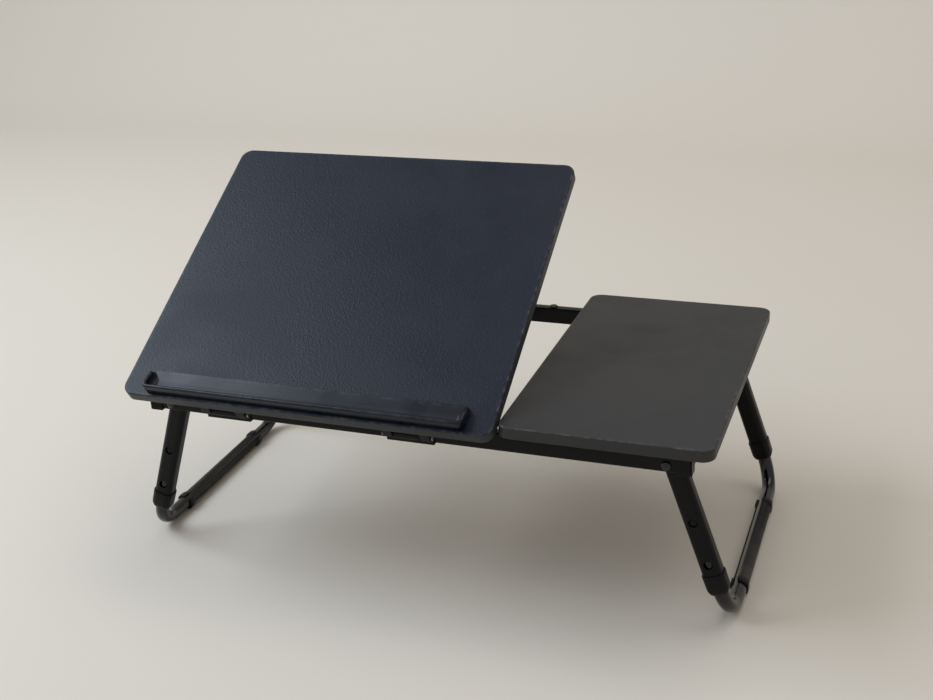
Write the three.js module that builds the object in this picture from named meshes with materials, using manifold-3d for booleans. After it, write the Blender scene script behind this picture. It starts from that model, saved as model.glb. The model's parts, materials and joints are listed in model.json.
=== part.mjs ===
// Folding tray table: one fixed side panel, one tilting panel with a book stop, and two folding
// leg sets whose U-shaped feet slide out of flat-oval legs. Millimetres, +Z up.
// Origin: middle of the table's outline on the floor, X along the table, -Y towards the user.
import * as THREE from 'three';
import * as BufferGeometryUtils from 'three/addons/utils/BufferGeometryUtils.js';
import Module from 'manifold-3d';

const wasm = await Module();
wasm.setup();

// ---------- driving dimensions ----------
const TABLE_WIDTH = 626;
const TABLE_DEPTH = 360;
const TABLE_HEIGHT = 210;
const BOARD_THICKNESS = 12;
const BOARD_CORNER = 13;
const SIDE_PANEL_WIDTH = 209;
const PANEL_GAP = 0.8;
const TILT_PANEL_INSET = 2.4;
const TILT_DEG = 30;
const GAP = 0.3;

const RAIL_DEPTH = 11;
const RAIL_HEIGHT = 19;
const RAIL_WALL = 1.2;
const RAIL_INSET = 12.5;
const RAIL_DROP = 2;
const RAIL_END_INSET = 21.5;

const PIVOT_X = 267;
const PIVOT_DROP = 26;
const LEG_Y = 143;
const LEG_SPLAY_DEG = 18.9;
const LEG_WIDTH = 20.5;
const LEG_DEPTH = 18;
const LEG_CORNER = 6;
const LEG_WALL = 1.3;
const LEG_TOP = 12.3;
const LEG_END = 146;
const HEAD_RADIUS = 10.25;
const COLLAR_TOP = 131;
const COLLAR_END = 153;

const FOOT_TUBE_RADIUS = 7.5;
const FOOT_TUBE_WALL = 1.2;
const FOOT_BEND_RADIUS = 34;
const FOOT_ARM_TOP = 48;
const SLEEVE_RADIUS = 8.8;
const SLEEVE_BORE = 7.8;
const SLEEVE_HALF_LENGTH = 87;
const SLEEVE_GAP_DEG = 46;
const SLEEVE_GAP_RISE_DEG = 52;

const BUTTON_STATIONS = [71.5, 118.9];
const BUTTON_RADIUS = 4;
const BUTTON_HOLE_RADIUS = 4.5;
const KEYWAY_WIDTH = 9.2;
const KEYWAY_DEPTH = 0.8;

const PIN_RADIUS = 3;
const PIN_HOLE_RADIUS = 3.3;

const TILT_AXIS_Y = -TABLE_DEPTH / 2 + 6.5;
const TILT_AXIS_Z = TABLE_HEIGHT - 24;
const TILT_HINGE_X = [-196, 10];
const HINGE_WIDTH = 51;
const HINGE_EAR_WIDTH = 10.5;
const HINGE_RADIUS = 4.4;
const HINGE_PIN_RADIUS = 2;

const STAY_LENGTH = 160;
const STAY_CLIP_DROP = 16;
const STAY_ROD_RADIUS = 2;
const STAY_BOSS_RADIUS = 3.6;
const STAY_WIDTH = 24;
const CHANNEL_WIDTH = 44;
const CHANNEL_WALL = 1.5;
const NOTCH_ANGLES_DEG = [20, 25, 30, 35, 40];

const LEDGE_START = 3.5;
const LEDGE_DEPTH = 29;
const LEDGE_LENGTH = 358;
const LEDGE_HEIGHT = 12;
const LEDGE_WALL = 4;
const LEDGE_CORNER = 6;

// ---------- dimensions that follow ----------
const rad = THREE.MathUtils.degToRad;
const HALF_DEPTH = TABLE_DEPTH / 2;
const BOARD_BOTTOM = TABLE_HEIGHT - BOARD_THICKNESS;
const RAIL_TOP = BOARD_BOTTOM - RAIL_DROP;
const RAIL_BOTTOM = RAIL_TOP - RAIL_HEIGHT;
const RAIL_OUTER = HALF_DEPTH - RAIL_INSET;
const RAIL_INNER = RAIL_OUTER - RAIL_DEPTH;
const RAIL_MIDDLE = (RAIL_OUTER + RAIL_INNER) / 2;
const RAIL_END = TABLE_WIDTH / 2 - RAIL_END_INSET;
const PIVOT_Z = TABLE_HEIGHT - PIVOT_DROP;
const LEG_SPLAY = rad(LEG_SPLAY_DEG);
const LEG_FACE = LEG_Y + LEG_DEPTH / 2;
const LEG_LENGTH = (PIVOT_Z - SLEEVE_RADIUS) / Math.cos(LEG_SPLAY);
const TILT_PANEL_LEFT = -TABLE_WIDTH / 2 + TILT_PANEL_INSET;
const TILT_PANEL_RIGHT = TABLE_WIDTH / 2 - SIDE_PANEL_WIDTH - PANEL_GAP;
const TILT_PANEL_X = (TILT_PANEL_LEFT + TILT_PANEL_RIGHT) / 2;
const STAY_RISE = TABLE_HEIGHT - STAY_CLIP_DROP - TILT_AXIS_Z;
const STAY_LEAN = Math.asin(STAY_RISE / STAY_LENGTH);
const CLIP_Y = TILT_AXIS_Y + STAY_LENGTH * Math.cos(STAY_LEAN);
const CLIP_Z = TILT_AXIS_Z + STAY_RISE;

// ---------- finishes ----------
const finish = (color, roughness, metalness) => () => (
  new THREE.MeshStandardMaterial({ color, roughness, metalness })
);
const laminate = finish(0x2a2e36, 0.55, 0);
const blackPlastic = finish(0x1b1c1f, 0.5, 0);
const blackPaint = finish(0x1a1b1e, 0.4, 0.6);
const glossPaint = finish(0x121316, 0.25, 0.6);
const blackRubber = finish(0x202124, 0.8, 0);
const steel = finish(0x55585c, 0.4, 0.9);

// ---------- solids ----------
function toManifold(geometry) {
  const bare = geometry.clone();
  bare.deleteAttribute('normal');
  bare.deleteAttribute('uv');
  const merged = BufferGeometryUtils.mergeVertices(bare, 1e-4);
  const vertProperties = new Float32Array(merged.attributes.position.array);
  const triVerts = new Uint32Array(merged.index.array);
  return new wasm.Manifold(new wasm.Mesh({ numProp: 3, vertProperties, triVerts }));
}

function fromManifold(solid) {
  const mesh = solid.getMesh();
  const geometry = new THREE.BufferGeometry();
  geometry.setAttribute('position', new THREE.BufferAttribute(mesh.vertProperties, 3));
  geometry.setIndex(new THREE.BufferAttribute(mesh.triVerts, 1));
  geometry.computeVertexNormals();
  return geometry;
}

function join(...geometries) {
  return fromManifold(geometries.map(toManifold).reduce((sum, solid) => sum.add(solid)));
}

function cut(geometry, ...tools) {
  const whole = toManifold(geometry);
  return fromManifold(tools.map(toManifold).reduce((rest, tool) => rest.subtract(tool), whole));
}

function box(x0, x1, y0, y1, z0, z1) {
  const geometry = new THREE.BoxGeometry(Math.abs(x1 - x0), Math.abs(y1 - y0), Math.abs(z1 - z0));
  return geometry.translate((x0 + x1) / 2, (y0 + y1) / 2, (z0 + z1) / 2);
}

// A rounded rectangle of the given size around the origin of its plane.
function roundedRect(width, height, radius, PathClass = THREE.Shape) {
  const [w, h] = [width / 2, height / 2];
  const path = new PathClass();
  path.moveTo(w, -h + radius);
  path.lineTo(w, h - radius);
  path.absarc(w - radius, h - radius, radius, 0, Math.PI / 2);
  path.lineTo(-w + radius, h);
  path.absarc(-w + radius, h - radius, radius, Math.PI / 2, Math.PI);
  path.lineTo(-w, -h + radius);
  path.absarc(-w + radius, -h + radius, radius, Math.PI, 1.5 * Math.PI);
  path.lineTo(w - radius, -h);
  path.absarc(w - radius, -h + radius, radius, 1.5 * Math.PI, 2 * Math.PI);
  return path;
}

function circle(radius, PathClass = THREE.Shape) {
  return new PathClass().absarc(0, 0, radius, 0, 2 * Math.PI);
}

function polygon(points) {
  return new THREE.Shape(points.map(([a, b]) => new THREE.Vector2(a, b)));
}

const AXES = {
  x: new THREE.Matrix4().set(0, 0, 1, 0, 1, 0, 0, 0, 0, 1, 0, 0, 0, 0, 0, 1),
  y: new THREE.Matrix4().set(0, 1, 0, 0, 0, 0, 1, 0, 1, 0, 0, 0, 0, 0, 0, 1),
  z: new THREE.Matrix4(),
};

// Extrudes a shape along an axis from start to end. The shape's plane is (y, z) for x,
// (z, x) for y and (x, y) for z.
function extrude(shape, axis, start, end, curveSegments = 5, bevel = 0) {
  const geometry = new THREE.ExtrudeGeometry(shape, {
    depth: Math.abs(end - start) - 2 * bevel,
    curveSegments,
    steps: 1,
    bevelEnabled: bevel > 0,
    bevelThickness: bevel,
    bevelSize: bevel,
    bevelOffset: -bevel,
    bevelSegments: 1,
  });
  geometry.translate(0, 0, Math.min(start, end) + bevel);
  return geometry.applyMatrix4(AXES[axis]);
}

// A shape in the (x, z) plane carried along y.
function extrudeXZ(points, start, end) {
  return extrude(polygon(points.map(([x, z]) => [z, x])), 'y', start, end);
}

function rod(radius, axis, start, end, sides = 20) {
  const geometry = new THREE.CylinderGeometry(radius, radius, Math.abs(end - start), sides);
  if (axis === 'x') geometry.rotateZ(-Math.PI / 2);
  if (axis === 'z') geometry.rotateX(Math.PI / 2);
  const middle = (start + end) / 2;
  const place = { x: [middle, 0, 0], y: [0, middle, 0], z: [0, 0, middle] }[axis];
  return geometry.translate(...place);
}

// A tube's centre line: straight runs joined by arcs, sampled only where it bends.
class BentLine extends THREE.Curve {
  constructor(corners, radius, arcSteps) {
    super();
    this.points = [corners[0]];
    this.tangents = [corners[1].clone().sub(corners[0]).normalize()];
    for (let i = 1; i < corners.length - 1; i++) {
      const arrive = corners[i].clone().sub(corners[i - 1]).normalize();
      const leave = corners[i + 1].clone().sub(corners[i]).normalize();
      const centre = corners[i].clone().addScaledVector(arrive, -radius).addScaledVector(leave, radius);
      for (let k = 0; k <= arcSteps; k++) {
        const angle = (k / arcSteps) * Math.PI / 2;
        const [c, s] = [Math.cos(angle), Math.sin(angle)];
        const point = centre.clone().addScaledVector(leave, -radius * c);
        this.points.push(point.addScaledVector(arrive, radius * s));
        this.tangents.push(arrive.clone().multiplyScalar(c).addScaledVector(leave, s));
      }
    }
    const last = corners.length - 1;
    this.points.push(corners[last]);
    this.tangents.push(corners[last].clone().sub(corners[last - 1]).normalize());
  }

  get steps() {
    return this.points.length - 1;
  }

  getPointAt(u) {
    return this.points[Math.round(u * this.steps)].clone();
  }

  getTangentAt(u) {
    return this.tangents[Math.round(u * this.steps)].clone();
  }
}

function node(name, geometry, material) {
  const mesh = new THREE.Mesh(geometry, material());
  mesh.name = name;
  return mesh;
}

function group(...children) {
  return new THREE.Group().add(...children);
}

// ---------- boards ----------
function board(width) {
  return extrude(roundedRect(width, TABLE_DEPTH, BOARD_CORNER), 'z', BOARD_BOTTOM, TABLE_HEIGHT, 6, 0.8);
}

function makeSidePanel() {
  const panel = node('side_panel', board(SIDE_PANEL_WIDTH), laminate);
  panel.position.x = (TABLE_WIDTH - SIDE_PANEL_WIDTH) / 2;
  return panel;
}

function makeTiltingPanel() {
  const panel = node('tilting_panel', board(TILT_PANEL_RIGHT - TILT_PANEL_LEFT), laminate);
  panel.position.x = TILT_PANEL_X;
  return panel;
}

// The book stop: a thin flange on the panel's top face, with a wall along its front and both ends.
function makeLedge() {
  const base = TABLE_HEIGHT + GAP;
  const [halfLength, halfDepth] = [LEDGE_LENGTH / 2, LEDGE_DEPTH / 2];
  const bend = LEDGE_CORNER - LEDGE_WALL;
  const end = halfDepth - 3;
  const wall = new THREE.Shape();
  wall.moveTo(-halfLength, end);
  wall.lineTo(-halfLength, -halfDepth + LEDGE_CORNER);
  wall.absarc(-halfLength + LEDGE_CORNER, -halfDepth + LEDGE_CORNER, LEDGE_CORNER, Math.PI, 1.5 * Math.PI);
  wall.lineTo(halfLength - LEDGE_CORNER, -halfDepth);
  wall.absarc(halfLength - LEDGE_CORNER, -halfDepth + LEDGE_CORNER, LEDGE_CORNER, -Math.PI / 2, 0);
  wall.lineTo(halfLength, end);
  wall.lineTo(halfLength - LEDGE_WALL, end);
  wall.absarc(halfLength - LEDGE_CORNER, -halfDepth + LEDGE_CORNER, bend, 0, -Math.PI / 2, true);
  wall.absarc(-halfLength + LEDGE_CORNER, -halfDepth + LEDGE_CORNER, bend, -Math.PI / 2, -Math.PI, true);
  wall.lineTo(-halfLength + LEDGE_WALL, end);
  const flange = roundedRect(LEDGE_LENGTH, LEDGE_DEPTH, LEDGE_CORNER);
  const solid = join(
    extrude(wall, 'z', base, base + LEDGE_HEIGHT, 5, 1),
    extrude(flange, 'z', base, base + 1.2, 5),
  );
  const middle = -HALF_DEPTH + LEDGE_START + halfDepth;
  return node('book_stop_ledge', solid.translate(TILT_PANEL_X, middle, 0), blackPlastic);
}

// ---------- frame ----------
function makeRail(name, sy) {
  const section = roundedRect(RAIL_DEPTH, RAIL_HEIGHT, 1.5);
  section.holes.push(roundedRect(RAIL_DEPTH - 2 * RAIL_WALL, RAIL_HEIGHT - 2 * RAIL_WALL, 0.6, THREE.Path));
  const y = sy * RAIL_MIDDLE;
  const bar = extrude(section, 'x', -RAIL_END + 2, RAIL_END - 2, 2);
  bar.translate(0, y, (RAIL_TOP + RAIL_BOTTOM) / 2);
  const hole = (end) => rod(PIN_HOLE_RADIUS, 'y', y - 10, y + 10).translate(end * PIVOT_X, 0, PIVOT_Z);
  return node(name, cut(bar, hole(-1), hole(1)), blackPaint);
}

function makeEndCrossbar(name, end) {
  const section = roundedRect(17, 10, 1.2);
  section.holes.push(roundedRect(14.6, 7.6, 0.5, THREE.Path));
  const bar = extrude(section, 'y', -135.7, 135.7, 2);
  return node(name, bar.translate(end * 285.8, 0, 187), blackPaint);
}

// An upward-open channel from rail to rail that carries the stay's foot.
function makeTiltChannel() {
  const [w, bottom, top] = [CHANNEL_WIDTH / 2, RAIL_BOTTOM + GAP, RAIL_TOP - GAP];
  const outline = [
    [-w, top], [-w, bottom], [w, bottom], [w, top], [w - CHANNEL_WALL, top],
    [w - CHANNEL_WALL, bottom + CHANNEL_WALL], [-w + CHANNEL_WALL, bottom + CHANNEL_WALL],
    [-w + CHANNEL_WALL, top],
  ];
  const reach = RAIL_INNER - GAP;
  return node('tilt_channel', extrudeXZ(outline, -reach, reach), blackPaint);
}

// Plastic corner piece: a boot round the rail's end, a spacer plate with the pivot hole behind the
// rail, the lug that stops the splayed leg, and a spigot for the end crossbar.
function makeCornerBracket(name, sx, sy) {
  const at = (x0, x1, y0, y1, z0, z1) => box(sx * x0, sx * x1, sy * y0, sy * y1, z0, z1);
  const [boot0, boot1] = [PIVOT_X + 10.5, RAIL_END - 1.7];
  const [inner, outer] = [RAIL_INNER - GAP - 1, RAIL_OUTER + GAP + 1];
  const [low, high] = [RAIL_BOTTOM - GAP - 1, RAIL_TOP + GAP + 1];
  const boot = cut(
    at(boot0, boot1, inner, outer, low, high),
    at(boot0 - 1, boot1 + 1, inner + 1, outer - 1, low + 1, high - 1),
  );
  const rib = (x) => at(boot0 + x, boot0 + x + 1, outer - 0.5, outer + 0.5, low + 2, high - 2);
  const ribs = [2, 5, 8, 10.6].map(rib);
  const plate = at(PIVOT_X - 14, boot0 + 1, LEG_FACE + GAP, RAIL_INNER - GAP, 177.5, 195.5);
  const slant = [
    [PIVOT_X + 10.8, 195.7], [PIVOT_X + 22.8, 195.7], [PIVOT_X + 22.8, 177.3],
    [PIVOT_X + 13.8, 177.3], [PIVOT_X + 10.8, 185.6],
  ].map(([x, z]) => [sx * x, z]);
  const lug = extrudeXZ(slant, sy * (RAIL_INNER - GAP), sy * 136);
  const spigot = at(282.3, 289.3, 137, 124, 180, 194);
  const bore = rod(PIN_HOLE_RADIUS, 'y', -170, 170).translate(sx * PIVOT_X, 0, PIVOT_Z);
  return node(name, cut(join(boot, ...ribs, plate, lug, spigot), bore), blackPlastic);
}

// Plug that closes the rail's end: a plate against the boot and a spigot inside the rail.
function makeRailEndPlug(name, sx, sy) {
  const y = sy * RAIL_MIDDLE;
  const at = (x0, x1, half, z0, z1) => box(sx * x0, sx * x1, y - half, y + half, z0, z1);
  const plate = at(RAIL_END - 1.4, RAIL_END, 6.8, RAIL_BOTTOM - 1.3, RAIL_TOP + 1.3);
  const spigot = at(RAIL_END - 12, RAIL_END - 1.2, 4, RAIL_BOTTOM + 1.5, RAIL_TOP - 1.5);
  return node(name, join(plate, spigot), blackPlastic);
}

// Riveted pivot pin: domed cap in front of the rail, shank through leg head, closed end inside.
function makePivotPin(name, sx, sy) {
  const cap = RAIL_OUTER + GAP;
  const inner = LEG_Y - LEG_DEPTH / 2 - GAP;
  const profile = [
    [0, cap + 2.4], [2.6, cap + 2.1], [4.3, cap + 1.3], [4.9, cap + 0.4], [4.9, cap], [PIN_RADIUS, cap],
    [PIN_RADIUS, inner], [4.8, inner], [4.8, inner - 1.6], [0, inner - 1.6],
  ].reverse().map(([r, y]) => new THREE.Vector2(r, y));
  const pin = new THREE.LatheGeometry(profile, 20);
  if (sy < 0) pin.rotateZ(Math.PI);
  return node(name, pin.translate(sx * PIVOT_X, 0, PIVOT_Z), blackPaint);
}

function makeSpacer(name, sy) {
  const y = sy * RAIL_MIDDLE;
  return node(name, box(112, 274, y - 5, y + 5, RAIL_TOP + GAP, BOARD_BOTTOM - GAP), blackRubber);
}

function makeRestPad(name, x) {
  const pad = rod(4.8, 'z', RAIL_TOP + GAP, BOARD_BOTTOM - GAP);
  return node(name, pad.translate(x, RAIL_MIDDLE, 0), blackRubber);
}

// ---------- tilt hinges ----------
function disc(radius, y, z, start, end) {
  return rod(radius, 'x', start, end, 24).translate(0, y, z);
}

// Fixed half: barrel and block in front of the rail, with a plate and flange that wrap it.
function makeHingeBase(name, x) {
  const barrel = HINGE_WIDTH / 2 - HINGE_EAR_WIDTH - 0.6;
  const [y, z] = [TILT_AXIS_Y, TILT_AXIS_Z];
  const wide = HINGE_WIDTH / 2;
  const face = -RAIL_OUTER - GAP;
  const under = RAIL_BOTTOM - GAP;
  const solid = join(
    disc(HINGE_RADIUS, y, z, -barrel, barrel),
    box(-barrel, barrel, y, face, z - HINGE_RADIUS, z + 3),
    box(-wide, wide, face - 1, face, under - 1.5, z + 7),
    box(-wide, wide, face - 1, -RAIL_INNER - 0.5, under - 1.5, under),
  );
  const bore = disc(HINGE_PIN_RADIUS + 0.2, y, z, -40, 40);
  return node(name, cut(solid, bore).translate(x, 0, 0), blackPlastic);
}

// Moving half: a leaf under the panel with two ears that reach down to the pin.
function makeHingeLeaf(name, x) {
  const [y, z] = [TILT_AXIS_Y, TILT_AXIS_Z];
  const wide = HINGE_WIDTH / 2;
  const plate = box(-wide, wide, y - HINGE_RADIUS, y + 38, RAIL_TOP + GAP, BOARD_BOTTOM - GAP);
  const ears = [-wide, wide - HINGE_EAR_WIDTH].map((start) => join(
    disc(HINGE_RADIUS, y, z, start, start + HINGE_EAR_WIDTH),
    box(start, start + HINGE_EAR_WIDTH, y - HINGE_RADIUS, y + HINGE_RADIUS, z, RAIL_TOP + 1),
  ));
  const bore = disc(HINGE_PIN_RADIUS + 0.2, y, z, -40, 40);
  return node(name, cut(join(plate, ...ears), bore).translate(x, 0, 0), blackPlastic);
}

function makeHingePin(name, x) {
  const half = HINGE_WIDTH / 2 + 0.3;
  const pin = join(
    disc(HINGE_PIN_RADIUS, TILT_AXIS_Y, TILT_AXIS_Z, -half - 0.5, half + 0.5),
    disc(3.2, TILT_AXIS_Y, TILT_AXIS_Z, half, half + 1.4),
    disc(3.2, TILT_AXIS_Y, TILT_AXIS_Z, -half - 1.4, -half),
  );
  return node(name, pin.translate(x, 0, 0), steel);
}

// ---------- tilt stay ----------
function makeStayClip(name, side) {
  const [x0, x1] = side > 0 ? [13.3, 19.8] : [-19.8, -13.3];
  const top = BOARD_BOTTOM - GAP;
  const solid = join(
    disc(3.7, CLIP_Y, CLIP_Z, x0, x1),
    box(x0, x1, CLIP_Y - 3.7, CLIP_Y + 3.7, CLIP_Z, top),
    box(x0, x1, CLIP_Y - 13, CLIP_Y + 13, top - 1.6, top),
  );
  return node(name, cut(solid, disc(STAY_ROD_RADIUS + 0.2, CLIP_Y, CLIP_Z, x0 - 1, x1 + 1)), blackPlastic);
}

// The arm lies along +Y of its own frame, from the clip rod at 0 to the foot rod at its far end.
function makeStayArm() {
  const half = STAY_WIDTH / 2;
  const blank = join(
    disc(STAY_BOSS_RADIUS, 0, 0, -half, half),
    disc(STAY_BOSS_RADIUS, STAY_LENGTH, 0, -half, half),
    box(-half, half, 0, STAY_LENGTH, -1.5, 1.5),
  );
  const window = extrude(roundedRect(9, STAY_LENGTH - 44, 4.4), 'z', -5, 5);
  window.translate(0, STAY_LENGTH / 2, 0);
  const bores = [0, STAY_LENGTH].map((y) => disc(STAY_ROD_RADIUS + 0.2, y, 0, -half - 1, half + 1));
  return node('tilt_stay_arm', cut(blank, window, ...bores), blackPaint);
}

function makeStayRod(name, y) {
  return node(name, disc(STAY_ROD_RADIUS, y, 0, -19.6, 19.6), steel);
}

// Notched strips along both of the channel's walls, joined by a thin floor; a notch lies under the
// foot rod at each tilt angle.
function makeRack() {
  const top = TILT_AXIS_Z - STAY_ROD_RADIUS - GAP;
  const floor = RAIL_BOTTOM + GAP + CHANNEL_WALL + GAP;
  const notchDepth = 2;
  const spot = (deg) => TILT_AXIS_Y + 2 * STAY_LENGTH * Math.cos(rad(deg) + STAY_LEAN);
  const spots = NOTCH_ANGLES_DEG.map(spot).sort((a, b) => a - b);
  const [start, end] = [spots[0] - 8, spots[spots.length - 1] + 8];
  const wall = CHANNEL_WIDTH / 2 - CHANNEL_WALL - GAP;
  const bed = wall - 5.6;
  const notches = spots.map((y) => rod(STAY_ROD_RADIUS + 0.4, 'x', -wall - 1, wall + 1, 16)
    .translate(0, y, top - notchDepth + STAY_ROD_RADIUS + 0.4));
  const trough = box(-bed, bed, start - 1, end + 1, floor + 1, top + 1);
  const blank = cut(box(-wall, wall, start, end, floor, top), trough);
  return node('tilt_rack', cut(blank, ...notches), blackPlastic);
}

// ---------- legs ----------
// Each leg set is built in a frame with its pivot line at the origin and -Z along the leg.
function makeLegTube(name, sy) {
  const section = roundedRect(LEG_WIDTH, LEG_DEPTH, LEG_CORNER);
  const [width, depth] = [LEG_WIDTH - 2 * LEG_WALL, LEG_DEPTH - 2 * LEG_WALL];
  section.holes.push(roundedRect(width, depth, LEG_CORNER - LEG_WALL, THREE.Path));
  const reach = LEG_DEPTH / 2 - LEG_WALL + KEYWAY_DEPTH;
  const keyway = box(-KEYWAY_WIDTH / 2, KEYWAY_WIDTH / 2, -reach, reach, -LEG_END - 1, -LEG_TOP + 1);
  const holes = BUTTON_STATIONS.map((t) => rod(BUTTON_HOLE_RADIUS, 'y', 0, sy * 20).translate(0, 0, -t));
  const tube = cut(extrude(section, 'z', -LEG_END, -LEG_TOP, 4), keyway, ...holes);
  return node(name, tube.translate(0, sy * LEG_Y, 0), blackPaint);
}

function makeLegHead(name, sy) {
  const [inner, outer] = [sy * (LEG_Y - LEG_DEPTH / 2), sy * (LEG_Y + LEG_DEPTH / 2)];
  const [width, depth] = [LEG_WIDTH - 2 * LEG_WALL - 0.6, LEG_DEPTH - 2 * LEG_WALL - 0.6];
  const plug = extrude(roundedRect(width, depth, 4.2), 'z', -30, -10, 4);
  const solid = join(
    rod(HEAD_RADIUS, 'y', inner, outer, 28),
    box(-LEG_WIDTH / 2, LEG_WIDTH / 2, inner, outer, -LEG_TOP + GAP, 0),
    plug.translate(0, sy * LEG_Y, 0),
  );
  return node(name, cut(solid, rod(PIN_HOLE_RADIUS, 'y', inner - sy, outer + sy)), blackPlastic);
}

// Plastic collar over the leg tube's lower end; its floor guides the sliding foot tube.
function makeCollar(name, sy) {
  const around = (grow) => roundedRect(LEG_WIDTH + grow, LEG_DEPTH + grow, LEG_CORNER + grow / 2);
  const shell = extrude(around(2.6), 'z', -COLLAR_END, -COLLAR_TOP, 4, 0.6);
  const pocket = extrude(around(0.6), 'z', -LEG_END - GAP, -COLLAR_TOP + 1, 4);
  const bore = rod(FOOT_TUBE_RADIUS + GAP, 'z', -COLLAR_END - 1, -COLLAR_TOP, 24);
  return node(name, cut(shell, pocket, bore).translate(0, sy * LEG_Y, 0), blackPlastic);
}

// U-shaped foot: two arms inside the leg tubes and a bar on the floor.
function makeFootTube(name) {
  const corners = [
    [-LEG_Y, -FOOT_ARM_TOP], [-LEG_Y, -LEG_LENGTH], [LEG_Y, -LEG_LENGTH], [LEG_Y, -FOOT_ARM_TOP],
  ].map(([y, z]) => new THREE.Vector3(0, y, z));
  const line = new BentLine(corners, FOOT_BEND_RADIUS, 8);
  const ring = circle(FOOT_TUBE_RADIUS);
  ring.holes.push(circle(FOOT_TUBE_RADIUS - FOOT_TUBE_WALL, THREE.Path));
  const options = { steps: line.steps, extrudePath: line, curveSegments: 8, bevelEnabled: false };
  const tube = new THREE.ExtrudeGeometry(ring, options);
  const hole = rod(BUTTON_RADIUS + 0.3, 'y', LEG_Y, LEG_Y + 20).translate(0, 0, -BUTTON_STATIONS[0]);
  const farHole = rod(BUTTON_RADIUS + 0.3, 'y', -LEG_Y - 20, -LEG_Y).translate(0, 0, -BUTTON_STATIONS[0]);
  return node(name, cut(tube, hole, farHole), glossPaint);
}

function arcBand(inner, outer, from, to, steps) {
  const ring = (radius, reverse) => Array.from({ length: steps + 1 }, (_, i) => {
    const angle = from + (to - from) * (reverse ? steps - i : i) / steps;
    return [radius * Math.cos(angle), radius * Math.sin(angle)];
  });
  return [...ring(outer, false), ...ring(inner, true)];
}

// Split sleeve clipped over the bar, open on the inner upper side, with thicker ends.
function makeFootSleeve(name, sx) {
  const world = sx > 0 ? Math.PI - rad(SLEEVE_GAP_RISE_DEG) : rad(SLEEVE_GAP_RISE_DEG);
  const middle = world - sx * LEG_SPLAY;
  const half = rad(SLEEVE_GAP_DEG) / 2;
  const wrap = (inner, outer, a, b, y0, y1, steps) => extrudeXZ(arcBand(inner, outer, a, b, steps), y0, y1);
  const L = SLEEVE_HALF_LENGTH;
  const [from, to] = [middle + half, middle + 2 * Math.PI - half];
  const body = wrap(SLEEVE_BORE, SLEEVE_RADIUS - 0.4, from, to, -L, L, 24);
  const rims = [-L, L - 5].map((y) => wrap(SLEEVE_BORE, SLEEVE_RADIUS, from, to, y, y + 5, 24));
  return node(name, join(body, ...rims).translate(0, 0, -LEG_LENGTH), blackRubber);
}

// Snap button: domed stem through the foot tube's wall with a flange inside it.
function makeButton(name, sy) {
  const top = LEG_DEPTH / 2 - LEG_WALL + KEYWAY_DEPTH - GAP;
  const profile = [
    [0, 2], [4.6, 2], [4.6, 3.1], [BUTTON_RADIUS, 3.1], [BUTTON_RADIUS, top - 0.7],
    [3.4, top - 0.25], [2, top], [0, top],
  ].map(([r, y]) => new THREE.Vector2(r, y));
  const button = new THREE.LatheGeometry(profile, 20);
  if (sy < 0) button.rotateZ(Math.PI);
  return node(name, button.translate(0, sy * LEG_Y, -BUTTON_STATIONS[0]), blackPlastic);
}

// V-shaped strip spring behind the button, drawn as a folded band in the (z, y) plane.
function makeButtonSpring(name, sy) {
  const t = BUTTON_STATIONS[0];
  const outline = [
    [-t + 4, 1.7], [-t - 6, 1.7], [-t - 26, -1.4], [-t - 8, -4.2],
    [-t - 8, -3.6], [-t - 23.4, -1.3], [-t - 6, 1.1], [-t + 4, 1.1],
  ].map(([z, y]) => [sy * y, z]);
  return node(name, extrude(polygon(outline), 'x', -2.5, 2.5).translate(0, sy * LEG_Y, 0), steel);
}

function makeLegSet(side, sx) {
  const set = new THREE.Group();
  for (const [end, sy] of [['front', -1], ['rear', 1]]) {
    set.add(
      makeLegTube(`${side}_${end}_leg_tube`, sy),
      makeLegHead(`${side}_${end}_leg_head`, sy),
      makeCollar(`${side}_${end}_collar`, sy),
      makeButton(`${side}_${end}_button`, sy),
      makeButtonSpring(`${side}_${end}_button_spring`, sy),
    );
  }
  set.add(makeFootTube(`${side}_foot_tube`), makeFootSleeve(`${side}_foot_sleeve`, sx));
  set.position.set(sx * PIVOT_X, 0, PIVOT_Z);
  set.rotation.y = -sx * LEG_SPLAY;
  return set;
}

// ---------- assembly ----------
function makeFrame() {
  const frame = group(
    makeSidePanel(),
    makeRail('front_rail', -1),
    makeRail('rear_rail', 1),
    makeEndCrossbar('left_end_crossbar', -1),
    makeEndCrossbar('right_end_crossbar', 1),
    makeTiltChannel(),
    makeSpacer('front_side_panel_spacer', -1),
    makeSpacer('rear_side_panel_spacer', 1),
    makeRestPad('left_rest_pad', -250),
    makeRestPad('right_rest_pad', 60),
    makeRack(),
  );
  for (const [side, sx] of [['left', -1], ['right', 1]]) {
    for (const [end, sy] of [['front', -1], ['rear', 1]]) {
      frame.add(
        makeCornerBracket(`${side}_${end}_corner_bracket`, sx, sy),
        makeRailEndPlug(`${side}_${end}_rail_end_plug`, sx, sy),
        makePivotPin(`${side}_${end}_pivot_pin`, sx, sy),
      );
    }
  }
  TILT_HINGE_X.forEach((x, i) => {
    const side = ['left', 'right'][i];
    frame.add(makeHingeBase(`${side}_hinge_base`, x), makeHingePin(`${side}_hinge_pin`, x));
  });
  return frame;
}

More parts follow.
